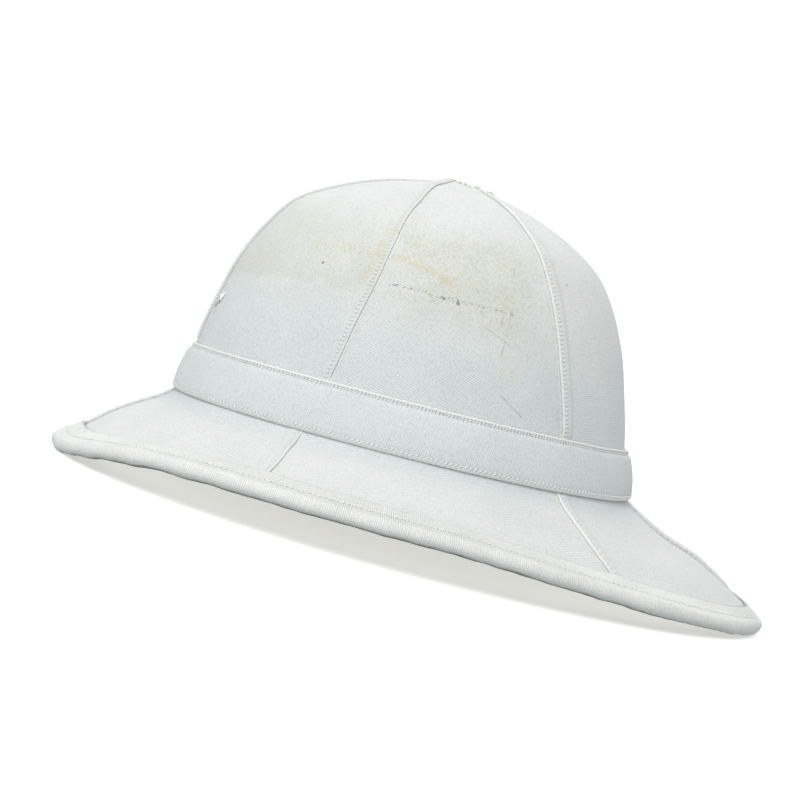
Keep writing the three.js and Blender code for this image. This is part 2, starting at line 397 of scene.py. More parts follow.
twill = {"pitch": 0.92, "depth": 0.09, "nap": 0.75, "napDepth": 0.14}  # from ridge to ridge, in millimetres
sewing = {"start": 3, "pitch": 1.8, "row": 1.8}  # where it starts on the crown, and in from a folded edge


# Ridges of a twill or a ribbed weave, 0 in the grooves and 1 on the ridges
def ridges(shader, slant, pitch, wander):
    across, down = shader.clothMap()
    turn = math.radians(slant)
    drift = shader.noise(12, 2) * (wander * 12)
    phase = (across * math.sin(turn) + down * math.cos(turn) + drift) * (2 * math.pi / pitch)
    return shader.math("SINE", phase) * 0.5 + 0.5


def mottle(shader, color):
    color = shader.cover(color, shader.blotches(45, 0.42, 0.75, 4, 0.6) * 0.25, "coolTintAndShade")
    return shader.cover(color, shader.blotches(4, 0.5, 0.75, 5, 0.65) * 0.22, "coolTintAndShade")


# The cloth's colour and relief: white drill with its ridges, nap and slubs, with painted shade in the grooves
# between the ridges
def drill(shader, color, slant, pitch, shade=1, wander=0.08):
    lines = ridges(shader, slant, pitch, wander)
    nap = shader.noise(twill["nap"], 3, 0.7)
    slubs = shader.blotches(2.2, 0.5, 0.75, 3, 0.6)
    worn = shader.blotches(20, 0.35, 0.65, 2, 0.5)
    grooveShade = shader.step(0.75, 0.1, lines) * (worn * 0.45 + 0.55) * shade
    # painted shade in the grooves
    color = shader.darken(color, grooveShade * 0.5, "grooveShadeAndGrain")
    color = shader.darken(color, shader.step(0.47, 0.66, nap) * 0.5, "grooveShadeAndGrain")
    color = shader.darken(color, slubs * 0.18, "grooveShadeAndGrain")
    return color, [(nap, twill["napDepth"], 0.9), (lines, twill["depth"], 0.9 * shade)]


# Painted shade: the low parts of the crown, and the brim under the band where its shadow falls, are darker
# and cooler: from, full, fading, to, and how much
paintedShadeAreas = [(78, 132, 150, 165, 0.6), (150, 155, placeOf["bandFoot"] + 2, placeOf["bandFoot"] + 11, 0.7)]


def panelMaterial(name, slant, sewnFrom, marks, shade):
    shader = Shader(name)
    _, down = shader.clothMap()
    color = mottle(shader, clothLook["white"])
    # painted shade: darker, cooler areas low on the crown and under the band
    for start, full, fading, end, amount in paintedShadeAreas:
        area = shader.step(start, full, down) * shader.step(end, fading, down)
        color = shader.cover(color, area * amount, "coolTintAndShade")
    color, bumps = drill(shader, marks(shader, color), slant, twill["pitch"], shade)
    seam, row = shader.mark("seam"), shader.mark("row")
    # painted highlight along each seam's folded edge
    color = shader.cover(color, shader.step(1.0, 0.35, seam) * 0.7, "foldHighlight")
    # painted shadow in the stitched valley beside each lapped seam
    color = shader.cover(color, shader.step(3.5, 0.5, abs(row)) * 0.3, "coolTintAndShade")
    holes, puckers = shader.sewn(down - sewnFrom, row, sewing["pitch"])
    # painted shade in the stitch holes
    color = shader.darken(color, holes * 0.15, "hole")
    bumps.append((puckers, 0.28, 1.0))
    dirt = shader.step(3.5, 0.8, seam) * shader.blotches(2.5, 0.5, 0.7, 4, 0.5)
    color = shader.darken(color, dirt * 0.6, "stain")
    edge = placeOf["bindingEdge"]
    # painted shade where the brim meets the binding tape's raised edge
    line = shader.step(edge - 1.3, edge - 0.2, down) * shader.step(edge + 1, edge + 0.4, down)
    color = shader.darken(color, line * 0.35, "hole")
    # painted shadow of the vent's hole showing through the frayed cloth at its edge
    torn = shader.step(3.6, 0.8, down) * shader.blotches(1.3, 0.5, 0.6, 3, 0.5)
    color = shader.cover(color, torn * 0.85, "speckAndShade")
    color = shader.cover(color, shader.mark("inner"), "inside")
    return shader.surface(color, 0.92, bumps)


# The tear at the front: its hole and the tip of its flap are given by place and angle
tear = {
    "hole": (118.1, 9.2),
    "tip": (113.2, 12.1),
    "radius": 1.15,
    "wide": 2.3,  # how many times wider than high
    "inside": 0.8,  # radius on the inside of the wall
    "depth": 4,
    "sides": 12,
    # dark: the painted shadow inside the hole
    "dark": ((118.1, 7.2), (118.1, 10.5), 1.5),  # the dark mark in it, from, to and half its width
    "flapStart": 1.7,
    "flapWidth": 1.9,
    "flapRise": 1.1,
    "flapGrid": (9, 7),
    "thickness": 0.22,
    "threads": 12,
    "threadRanges": ((118.6, 120.8), (6.4, 8.4), (0.1, 0.5)),  # places, angles and heights of loose threads
}


def specks(shader, color, spots, amount):
    for place, angle, radius in spots:
        color = shader.cover(color, shader.spot(place, angle, radius) * amount, "speckAndShade")
    return color


# Stains and specks of each crown panel, where the photograph shows them
def frontLeftMarks(shader, color):
    across, down = shader.clothMap()
    patch = shader.noise(16, 5, 0.6)
    edge = down + across * 0.06 + shader.noise(11, 4) * 14
    region = shader.step(111, 106, edge) * shader.step(60, 90, down + patch * 16)
    color = shader.darken(color, region * (patch * 0.9 + 0.1), "stain")
    rough = shader.blotches(3, 0.42, 0.62)
    nearSeam = shader.streak((66, 61.5), (94, 61), 6) * 0.8 + shader.streak((80, 62), (84, 40), 5) * 0.4
    color = shader.darken(color, nearSeam * rough * 0.8, "yellow")
    # painted shade in the slit below the tear
    color = shader.darken(color, shader.streak((120.3, 9), (125, 9.9), 0.8) * 0.8, "slitShade")
    color = shader.darken(color, shader.spot(119.6, 7.4, 1.5) * rough * 0.9, "yellow")
    # painted shadow inside the tear's hole
    color = shader.cover(color, shader.streak(*tear["dark"]), "depth")
    return shader.cover(color, shader.spot(90.7, 47, 0.75), "speckAndShade")


def leftMarks(shader, color):
    across, down = shader.clothMap()
    patch = shader.noise(15, 5, 0.65)
    sideways = shader.step(42, 20, abs(across + 2 + (patch - 0.5) * 50))
    wavy = down + (patch - 0.5) * 34
    region = sideways * shader.step(54, 74, wavy) * shader.step(112, 90, wavy)
    color = shader.darken(color, region * (patch * 0.8 + 0.2), "stain")
    color = shader.darken(color, region * shader.blotches(1.6, 0.5, 0.62, 3) * 0.9, "stain")
    yellow = shader.streak((80, 64.5), (86.5, 84), 3.6) + shader.streak((60, 74), (72, 96), 2.5) * 0.5
    yellow = yellow + shader.streak((84, 96), (122, 102), 7) * 0.35
    color = shader.darken(color, yellow * shader.blotches(1.9, 0.44, 0.58) * 0.85, "yellow")
    line = shader.step(0.8, 0.3, abs(down + shader.noise(9) * 3 - 94.4))
    dots = shader.blotches(1.1, 0.52, 0.6, 2, 0.5) * shader.step(24, 2, across)
    color = shader.cover(color, line * dots * shader.step(-41, -36, across) * 0.75, "speckAndShade")
    scuffs = shader.streak((72, 98.5), (99, 96.3), 0.6) + shader.streak((90, 99), (112, 98), 0.5)
    scuffs = scuffs + shader.streak((127, 100), (134, 107), 0.5) + shader.streak((101, 92), (106, 100), 0.4)
    color = shader.cover(color, scuffs * 0.35, "speckAndShade")
    spots = [(93, 99.4, 0.5), (91.9, 96.1, 0.3), (94, 84.1, 1.1), (93.4, 80.5, 0.9)]
    return specks(shader, color, spots, 0.8)


def backLeftMarks(shader, color):
    strip = shader.streak((62, 109), (101, 116.5), 5.5)
    color = shader.darken(color, strip * shader.blotches(1.8, 0.45, 0.62) * 0.8, "stain")
    return specks(shader, color, [(72.4, 119.9, 0.7), (92.4, 132.5, 0.6), (100.6, 116.7, 0.7)], 0.6)


# The far side isn't seen, so its stains are made up, and the brim is nearly clean
def farMarks(shader, color):
    patch = shader.noise(26, 5, 0.6)
    color = shader.darken(color, shader.step(0.48, 0.7, patch) * 0.8, "stain")
    rough = shader.step(0.56, 0.72, patch) * shader.blotches(3, 0.45, 0.65)
    return shader.darken(color, rough * 0.5, "yellow")


def plainMarks(shader, color):
    return shader.darken(color, shader.blotches(6, 0.6, 0.75, 5, 0.65) * 0.4, "stain")


# Rows of stitches: where they run, how high they lie, from stitch to stitch, how much of that is thread,
# how many degrees each leans, and how far beside them the cloth puckers
bandRows = [
    {
        "place": placeOf["bandTop"] + 1.7, "offset": 1.62, "pitch": 1.5,
        "fill": 0.75, "slant": 18, "pucker": 1.8,
    },
    {
        "place": placeOf["bandFoot"] - form["gap"] - 1.6, "offset": 2.45, "pitch": 2,
        "fill": 0.75, "slant": 35, "pucker": 1.2,
    },
]
# the band's cloth is darker and bluer than the panels' white: painted shade
bandLook = {"cloth": (0.755, 0.785, 0.785, 1), "slant": 88, "pitch": 0.85}


def bandMaterial():
    shader = Shader("band_cloth")
    along, down = shader.clothMap()
    color = mottle(shader, bandLook["cloth"])
    color, bumps = drill(shader, color, bandLook["slant"], bandLook["pitch"], wander=0.1)
    # painted highlight along the band's folded top and foot edges
    color = shader.cover(color, shader.mark("lip") * (shader.noise(1.2) * 0.6 + 0.5), "foldHighlight")
    for row in bandRows:
        holes, puckers = shader.sewn(along, down - row["place"], row["pitch"], row["pucker"])
        # painted shade in the stitch holes
        color = shader.darken(color, holes * 0.35, "hole")
        bumps.append((puckers, 0.35, 1.0))
    color = shader.cover(color, shader.mark("inner"), "inside")
    return shader.surface(color, 0.9, bumps)


bindingLook = {
    "tape": (0.90, 0.895, 0.87, 1),
    # painted shade on the lower, down-facing part of the bead
    "bluishShade": (0.56, 0.615, 0.625, 1),
    # the bead's bottom edge: grime, and painted shade where it faces the floor
    "grimeAndShade": (0.12, 0.125, 0.085, 1),
    "ribs": 0.88,
}
# Its row is that far in from the tape's inner edge
bindingRow = {"row": 9.3, "pitch": 2.4, "fill": 0.72, "slant": 8, "pucker": 1.2}


def bindingMaterial():
    shader = Shader("binding_tape")
    along, _ = shader.clothMap()
    color = mottle(shader, bindingLook["tape"])
    color, bumps = drill(shader, color, 90, bindingLook["ribs"], shade=1.5, wander=0.04)
    row = shader.mark("row")
    holes, puckers = shader.sewn(along, row, bindingRow["pitch"], bindingRow["pucker"])
    # painted shade in the stitch holes
    color = shader.darken(color, holes * 0.45, "hole")
    # painted shade along the tape's raised inner edge
    color = shader.darken(color, shader.step(-8.3, -8.8, row) * 0.7, "hole")
    bumps.append((puckers, 0.4, 1.0))
    patch = shader.noise(7, 4, 0.6)
    turn = shader.mark("turn") + (patch - 0.5) * 36
    # painted shade: the lower, down-facing part of the bead is darker and bluer
    bluishShade = shader.step(14, -10, turn) * shader.step(-55, -30, turn)
    color = shader.mix(bluishShade * (patch * 0.7 + 0.1), color, bindingLook["bluishShade"])
    # the bead's bottom edge darkened: grime and painted shade
    grimeAndShade = shader.step(-14, -46, turn + shader.noise(1) * 12)
    color = shader.mix(grimeAndShade * 0.92, color, bindingLook["grimeAndShade"])
    return shader.surface(color, 0.9, bumps)


def threadMaterial(name, light, dark, ends):
    shader = Shader(name)
    patch = shader.noise(2)
    color = shader.mix(shader.step(0.4, 0.6, patch), light, dark)
    color = shader.cover(color, shader.mark("end") * ends, "speckAndShade")
    return shader.surface(color, 0.8, [(patch, 0.05, 0.4)])


# Panels: a wall whose lapped edges are folded and lie on the next panel

lapSection = [  # in from the folded edge, top of the cloth, underside of it
    (0, 0.75, 0.75), (0.1, 1.12, 0.38), (0.35, 1.4, 0.12), (0.8, 1.5, 0.06), (1.3, 1.44, 0.06),
    (1.8, 1.28, 0.06), (2.3, 1.4, 0.06), (2.9, 1.5, 0.06), (3.6, 1.46, 0.06), (4.28, 1.42, 0.06),
    (4.3, 1.42, -3), (5.0, 1.22, -3), (5.7, 0.76, -3), (6.4, 0.36, -3), (7.4, 0.12, -3),
    (9.0, 0.03, -3), (11.5, 0, -3),
]
underSection = [  # in from the seam; the cloth sinks by these parts where the folded edge lies on it
    (-4, -0.85, -3), (-2.6, -0.85, -3), (-1.2, -0.85, -3), (-0.5, -0.95, -3), (0, -1, -3),
    (0.3, -0.9, -3), (0.7, -0.55, -3), (1.2, -0.25, -3), (2, -0.1, -3), (3.2, 0, -3),
    (5, 0, -3), (7, 0, -3), (9, 0, -3), (11.5, 0, -3),
]
# For each seam, going round from the front: how high its lap stands on the crown and on the brim, how far
# the fold's underside is off the cloth, all as parts of the section's, and how far the cloth sinks there
crownLap = [1.2, 0.8, 0.9, 0.9, 0.9, 0.8, 1.2]
brimLap = [1.1, 0.75, 0.9, 1.7, 0.9, 0.75, 1.1]
lapUnder = [0.1, 0.8, 0.35, 0.2, 0.35, 0.8, 0.1]
seamSink = [0, 0.12, 0.05, 0.1, 0.05, 0.12, 0]
# The brim rises to a ridge at its back seam, between two shallow valleys
backRidge = {"height": 0.7, "width": 5, "valley": 0.7, "valleyAt": 17, "valleyWidth": 10}
# What is left of a lap at the band, the vent and the binding, and over what lengths it is flattened
lapEnd = {"low": 0.22, "vent": 0.75, "flat": 0.65, "ventReach": 18, "band": 3.5, "binding": 2.5}
panelList = {
    "front_left": {"seams": (0, 1), "laps": (False, True), "slant": 58, "marks": frontLeftMarks},
    "left": {"seams": (1, 2), "laps": (False, False), "slant": -17, "marks": leftMarks},
    "back_left": {"seams": (2, 3), "laps": (True, False), "slant": 5, "marks": backLeftMarks, "shade": 0.75},
    "back_right": {"seams": (3, 4), "laps": (True, True), "slant": -20, "marks": farMarks},
    "right": {"seams": (4, 5), "laps": (False, False), "slant": 30, "marks": farMarks},
    "front_right": {"seams": (5, 6), "laps": (True, True), "slant": 50, "marks": farMarks},
}
ventEdge = {"ragged": 0.9, "lip": 0.8, "reach": 1.6, "bump": 1.9, "bumpAngle": 33, "bumpWidth": 14}


def lapHeight(seam, place):
    top, foot, edge = placeOf["bandTop"], placeOf["bandFoot"], placeOf["bindingEdge"]
    onCrown = 1 - (1 - lapEnd["low"]) * smooth(top - lapEnd["band"], top - 0.4, place)
    onCrown = onCrown * (lapEnd["vent"] + (1 - lapEnd["vent"]) * smooth(2, lapEnd["ventReach"], place))
    onBrim = lapEnd["low"] + (1 - lapEnd["low"]) * smooth(foot - 0.5, foot + lapEnd["band"], place)
    onBrim = onBrim * (1 - (1 - lapEnd["flat"]) * smooth(edge - lapEnd["binding"], edge - 0.3, place))
    height = np.where(place < placeOf["bandMiddle"], onCrown * crownLap[seam], onBrim * brimLap[seam])
    return height * (1 + lapScale(place)) / 2


def ridgeHeight(place, angle):
    away = np.abs(angle - 180) * perDegree(place, np.full_like(angle, 180.0))
    rise = backRidge["height"] * np.exp(-(away / backRidge["width"]) ** 2)
    fall = backRidge["valley"] * np.exp(-((away - backRidge["valleyAt"]) / backRidge["valleyWidth"]) ** 2)
    onBrim = smooth(placeOf["bandFoot"] + 1, placeOf["brimUpper"], place)
    return (rise - fall) * onBrim * smooth(placeOf["bindingEdge"], placeOf["bindingEdge"] - 7, place)


# Columns of one side of a panel, from its edge inwards: angles, tops and undersides for each row
def sideColumns(seam, inward, lapped, places):
    section = np.array(lapSection if lapped else underSection)
    distance, top, low = section.T
    extra = np.where(distance < -3.9, form["gap"], 0)
    angles = besideSeam(seam, places[:, None], inward * distance[None, :], inward * extra[None, :])
    height = lapHeight(seam, places)[:, None]
    top = top[None, :] * (height if lapped else seamSink[seam] + 0 * height)
    low = np.where(low[None, :] > 0, low[None, :] * height * lapUnder[seam], low[None, :])
    seamAway = np.abs(distance)[None, :] * lapScale(places)[:, None]
    rowAway = seamAway - sewing["row"] * lapScale(places)[:, None] if lapped else seamAway + form["far"]
    return angles, top, low, seamAway, rowAway


def panelPoints(panel, places, closing, middleCount):
    (fromSeam, toSeam), (lapFrom, lapTo) = panel["seams"], panel["laps"]
    fromSide = sideColumns(fromSeam, 1, lapFrom, places)
    toSide = [values[:, ::-1] for values in sideColumns(toSeam, -1, lapTo, places)]
    t = np.linspace(0, 1, middleCount + 2)[1:-1][None, :]
    middleAngles = fromSide[0][:, -1:] * (1 - t) + toSide[0][:, :1] * t
    flat = np.zeros_like(middleAngles)
    middle = [middleAngles, flat, flat - form["wall"], flat + 12, flat + form["far"]]
    sections = [np.concatenate(part, axis=1) for part in zip(fromSide, middle, toSide)]
    angles, top, low, seamAway, rowAway = sections
    rows = places[:, None] + 0 * angles
    bumps = unevenness(surfacePoint(rows, angles)) + ridgeHeight(rows, angles)
    top = top + bumps
    low = np.where(low > -1, low + bumps, low)
    rows, lift = ventShape(rows, angles)
    top, low = pinch(top + lift, low + lift, closing[:, None])
    loopAngles, loopOffsets, loopRows = loopOf(angles, angles), loopOf(top, low), loopOf(rows, rows)
    centre = (seamAngle(fromSeam, places) + seamAngle(toSeam, places))[:, None] / 2
    across = (loopAngles - centre) * perDegree(places, centre[:, 0])[:, None]
    cloth = np.stack([across, loopRows], -1)
    marks = {
        "seam": loopOf(seamAway, seamAway + form["far"]),
        "row": loopOf(rowAway, rowAway + form["far"]),
        "inner": (loopOffsets < -2).astype(float),
    }
    return offsetPoint(loopRows, loopAngles, loopOffsets), cloth, marks


# The torn cloth round the vent: it ends unevenly and stands up here and there
def ventShape(rows, angles):
    turns = np.radians(angles[0])
    ragged, stands = noiseRound(turns, 5, 2), noiseRound(turns, 3, 7)
    near = np.exp(-np.maximum(rows, 0) / ventEdge["reach"])
    off = (angles - ventEdge["bumpAngle"] + 180) % 360 - 180
    bump = ventEdge["bump"] * np.exp(-(off / ventEdge["bumpWidth"]) ** 2) * np.exp(-((rows - 3) / 4) ** 2)
    lift = ventEdge["lip"] * np.clip(stands * 2 + 0.3, 0, 1.5)[None, :] * near + bump
    return rows + ventEdge["ragged"] * np.clip(0.5 + ragged, 0, 1)[None, :] * near, lift


def rowPlaces(start, end, step, edges):
    count = max(2, round((end - start) / step))
    inside = np.linspace(start, end, count + 1)
    first = start + np.array([place for place, _ in edges])
    inside = inside[inside > first[-1] + 0.3]
    places = np.concatenate([first, inside, [end]])
    closing = np.concatenate([[close for _, close in edges], np.ones(len(inside)), [0]])
    return places, closing


def buildPanels(prefix, start, end, step, edges, middleCount, materials):
    places, closing = rowPlaces(start, end, step, edges)
    for side, panel in panelList.items():
        name = prefix + side
        points, cloth, marks = panelPoints(panel, places, closing, middleCount)
        mesh = gridMesh(name + "_cloth", points, cloth, marks)
        pieces[name] = addPiece(name + "_cloth", mesh, materials[side], [name])
    print(prefix + "panels made")


pieces = {}
# Rows at a panel's upper edge: how far down each is, and how much of the wall's thickness it has
ventRows = [(0, 0), (0, 0.55), (0.12, 0.85), (0.45, 1)]
plainRows = [(0, 0), (0, 1)]
brimSewing = placeOf["bandFoot"] + 1
crownMaterials, brimMaterials = {}, {}
for side, panel in panelList.items():
    slant, marks, shade = panel["slant"], panel["marks"], panel.get("shade", 1)
    crownMaterials[side] = panelMaterial("crown_cloth_" + side, slant, sewing["start"], marks, shade)
    brimMaterials[side] = panelMaterial("brim_cloth_" + side, -slant, brimSewing, plainMarks, 0.85)
joint, brimEnd = placeOf["bandMiddle"], placeOf["rim"] - form["brimEnd"]
buildPanels("crown_panel_", 0, joint - form["gap"] / 2, 1.5, ventRows, 56, crownMaterials)
buildPanels("brim_panel_", joint + form["gap"] / 2, brimEnd, 1.2, plainRows, 76, brimMaterials)


# The tear at the front: a hole through the panel, with a pointed flap of cloth beside it

def cutTear(piece):
    bm = bmesh.new()
    sides, inside, outside = tear["sides"], tear["inside"], tear["radius"]
    depth = tear["depth"] * 2  # to both sides of the cloth's face
    bmesh.ops.create_cone(bm, cap_ends=True, segments=sides, radius1=inside, radius2=outside, depth=depth)
    for vert in bm.verts:
        vert.co.xy = vert.co.xy * random.uniform(0.8, 1.2)
        vert.co.x *= tear["wide"]
    normal = Vector(surfaceNormal(*tear["hole"]))
    sideways = Vector((0, 0, 1)).cross(normal).normalized()
    turn = Matrix((sideways, normal.cross(sideways), normal)).transposed().to_4x4()
    middle = Matrix.Translation(Vector(surfacePoint(*tear["hole"])) * mm)
    bmesh.ops.transform(bm, matrix=middle @ turn @ Matrix.Scale(mm, 4), verts=bm.verts)
    cutter = addObject("tear", meshFrom(bm, "tear"))
    cut = piece.modifiers.new("tear", "BOOLEAN")
    cut.object = cutter
    cut.operation = "DIFFERENCE"
    view = bpy.context.evaluated_depsgraph_get()
    torn = bpy.data.meshes.new_from_object(piece.evaluated_get(view))
    piece.modifiers.clear()
    piece.data = torn
    bpy.data.objects.remove(cutter)


def buildFlap():
    (place, angle), (tipPlace, tipAngle) = tear["hole"], tear["tip"]
    rows, columns = tear["flapGrid"]
    t = np.linspace(0, 1, rows)[:, None]
    s = np.linspace(-1, 1, columns)[None, :]
    width = tear["flapWidth"] * (1 - t) ** 0.8
    degree = perDegree(place, angle)
    along = np.array([(tipAngle - angle) * degree, tipPlace - place])
    length = np.linalg.norm(along)
    side = np.array([along[1], -along[0]]) / length
    start = tear["flapStart"] / length
    run = start + (1 - start) * t
    across = along[0] * run + side[0] * s * width
    down = along[1] * run + side[1] * s * width
    places, angles = place + down, angle + across / degree
    top = tear["flapRise"] * (1 - t) ** 1.2 * (0.2 + 0.4 * (1 + s)) + 0.35
    closing = np.array([0] + [1] * (rows - 2) + [0])[:, None]
    top, low = pinch(top, top - tear["thickness"], closing)
    places, angles = loopOf(places, places), loopOf(angles, angles)
    points = offsetPoint(places, angles, loopOf(top, low))
    mesh = gridMesh("front_tear_flap", points, np.stack([angles, places], -1), {})
    addPiece("front_tear_flap", mesh, flapMaterial())


def flapMaterial():
    shader = Shader("torn_cloth")
    nap = shader.noise(twill["nap"])
    color = shader.mix(nap * 0.3, clothLook["torn"], clothLook["white"])
    return shader.surface(color, 0.9, [(nap, 0.05, 0.5)])


cutTear(pieces["crown_panel_front_left"])
buildFlap()
print("tear made")

# Rings: a closed section carried round the hat

bandShape = {
    "gap": 0.45,
    "steps": 760,
    "wander": 0.2,  # how far its edges wander up and down
    # in from the top edge, or from the foot, and height above the crown
    "upper": [
        (0, 0.3), (0, 0.75), (0.1, 1.15), (0.35, 1.42), (0.7, 1.5), (1.0, 1.35), (1.3, 1.15), (1.8, 1.08),
        (2.3, 1.18), (2.6, 1.5), (2.9, 1.8), (3.4, 2.1), (4.4, 2.35), (6, 2.5), (9, 2.6), (11.5, 2.65),
    ],
    "lower": [
        (8.5, 2.66), (6, 2.62), (3.8, 2.52), (2.6, 2.3), (2.1, 2.05), (1.7, 1.9), (1.4, 1.9), (1.1, 2.0),
        (0.8, 1.95), (0.5, 1.68), (0.25, 1.25), (0.06, 0.7), (0, 0.3),
    ],
}


def lengthAlong(points):
    return runningSum(np.linalg.norm(np.diff(points, axis=0), axis=1))


def buildBand():
    shape = bandShape
    angles = np.linspace(0, 360, shape["steps"] + 1)[:, None]
    top, foot = placeOf["bandTop"], placeOf["bandFoot"] - form["gap"]
    upper, lower = np.array(shape["upper"]), np.array(shape["lower"])
    section = np.concatenate([top + upper[:, 0], foot - lower[:, 0], [foot, top, top]])
    heights = np.concatenate([upper[:, 1], lower[:, 1], [0, 0, shape["upper"][0][1]]])
    places = section[None, :] + 0 * angles
    wander = noiseRound(np.radians(angles[:, 0]), 6, 3)[:, None] * shape["wander"]
    fade = (heights > 0)[None, :] * smooth(foot - 3, top + 4, places)
    places = places + wander * fade
    offsets = heights[None, :] + 0 * angles
    offsets = offsets + np.where(offsets > 0.7, unevenness(surfacePoint(places, angles)) * 0.8, 0)
    points = offsetPoint(places, angles + 0 * places, offsets + shape["gap"])
    around = lengthAlong(points[:, 6])[:, None]
    cloth = np.stack([around + 0 * places, section[None, :] + 0 * places], -1)
    # lip: where the band's folded edges get their painted highlight
    lip = smooth(1.1, 0.6, places - top) + smooth(1.1, 0.6, foot - places)
    inner = (heights < 0.1)[None, :] + 0 * angles
    mesh = gridMesh("hat_band_cloth", points, cloth, {"lip": lip, "inner": inner})
    addPiece("hat_band_cloth", mesh, bandMaterial(), ["hat_band"])
    print("band made")
    return angles[:, 0], around[:, 0]


bandRound = buildBand()

bindingShape = {
    "bead": 3.35,
    "steps": 1100,
    "tapeGap": 0.55,  # from the brim's cloth to the tape's inside
    # along from the tape's inner edge, and height above the brim
    "upper": [
        (0, 0.15), (0.02, 0.8), (0.2, 1.2), (0.7, 1.42), (2, 1.46), (4, 1.44), (6, 1.44), (7.6, 1.46),
        (8.5, 1.4), (9.0, 1.27), (9.3, 1.22), (9.6, 1.27), (10.2, 1.48), (11, 1.68),
    ],
    "beadTurns": np.linspace(112, -112, 26),
    "lumps": 0.5,
    "seamBump": 0.6,
    "seamReach": 6,
}


def buildBinding():
    shape = bindingShape
    angles = np.linspace(0, 360, shape["steps"] + 1)[:, None]
    edge, rim = placeOf["bindingEdge"], placeOf["rim"]
    slotEnd = rim - form["brimEnd"] + 0.6
    upper = np.array(shape["upper"])
    normal = surfaceNormal(rim, angles)
    outwards = surfacePoint(rim, angles) - surfacePoint(edge, angles)
    outwards = outwards - normal * np.sum(outwards * normal, axis=-1, keepdims=True)
    outwards = outwards / np.linalg.norm(outwards, axis=-1, keepdims=True)
    centre = offsetPoint(rim, angles, -form["wall"] / 2)
    turn = np.radians(angles[:, 0])
    lumps = (noiseRound(turn, 11, 0) + 0.4 * noiseRound(turn, 32, 0))[:, None]
    lift = 0 * angles
    for seam in range(7):
        middle = seamAngle(seam, np.array(edge))
        away = (angles - middle) * perDegree(edge, middle)
        lift = lift + shape["seamBump"] * np.exp(-(away / shape["seamReach"]) ** 2)
    along, heights = upper[None, :, 0], upper[None, :, 1]
    tapePlaces = edge + along + 0.25 * lumps * smooth(4, 0, along)
    heights = heights + 0.1 * lumps + lift * smooth(11, 6, along)
    tape = offsetPoint(tapePlaces, angles + 0 * tapePlaces, heights)
    turns = np.radians(shape["beadTurns"])[None, :, None]
    radius = (shape["bead"] + shape["lumps"] * lumps)[..., None]
    bead = centre + radius * (np.sin(turns) * normal + np.cos(turns) * outwards)
    lowPlaces = edge + upper[None, ::-1, 0] + 0 * angles
    low = offsetPoint(lowPlaces, angles + 0 * lowPlaces, -form["wall"] - upper[None, ::-1, 1] - 0.05)
    over, under = shape["tapeGap"], -form["wall"] - shape["tapeGap"]
    insides = []
    for place, offset in [(edge, under), (slotEnd, under), (slotEnd, over), (edge, over)]:
        insides.append(offsetPoint(place + 0 * angles, angles, offset + 0 * angles))
    points = np.concatenate([tape, bead, low, *insides, tape[:, :1]], axis=1)
    points[..., 2] = np.maximum(points[..., 2], 0)
    around = lengthAlong(points[:, len(upper) + len(shape["beadTurns"]) // 2])[:, None]
    down = runningSum(np.linalg.norm(np.diff(points, axis=1), axis=2).mean(axis=0))[None, :]
    cloth = np.stack([around + 0 * down, down + 0 * around], -1)
    rest = len(upper) + len(insides) + 1
    beadTurn = np.concatenate([np.full(len(upper), 90), shape["beadTurns"], np.full(rest, -90)])
    row = np.full(len(down[0]), float(form["far"]))
    row[:len(upper)] = upper[:, 0] - bindingRow["row"]
    marks = {"turn": beadTurn[None, :] + 0 * angles, "row": row[None, :] + 0 * angles}
    mesh = gridMesh("brim_binding_tape", points, cloth, marks)
    addPiece("brim_binding_tape", mesh, bindingMaterial(), ["brim_binding"])
    print("binding made")
    return angles[:, 0], around[:, 0]


bindingRound = buildBinding()

# Stitches: short threads lying in their grooves

stitchShape = {
    "rings": 4,
    "sides": 6,
    "height": 0.26,
    "width": 0.27,
    "spread": 4,  # from copy to copy while they are made
    "fill": 0.7,  # how much of the pitch is thread, on the panels
    "turn": 7,  # how many degrees a stitch may lie askew
    "lengths": (0.88, 1.08),  # shortest and longest, as parts of the row's
}


def stitchFrames(places, angles, offsets, length, slant=0.0):
    centres = offsetPoint(places, angles, offsets)
    normals = surfaceNormal(places, angles)
    runs = np.gradient(centres, axis=0)
    askew = stitchShape["turn"]
    frames = []
    for centre, normal, run in zip(centres, normals, runs):
        up = Vector(normal)
        along = Vector(run).normalized()
        along = Matrix.Rotation(math.radians(slant + random.uniform(-askew, askew)), 3, up) @ along
        side = up.cross(along).normalized()
        long = length / 2 * random.uniform(*stitchShape["lengths"])
        frames.append((centre, side * stitchShape["width"], up * stitchShape["height"], along * long))
    return frames


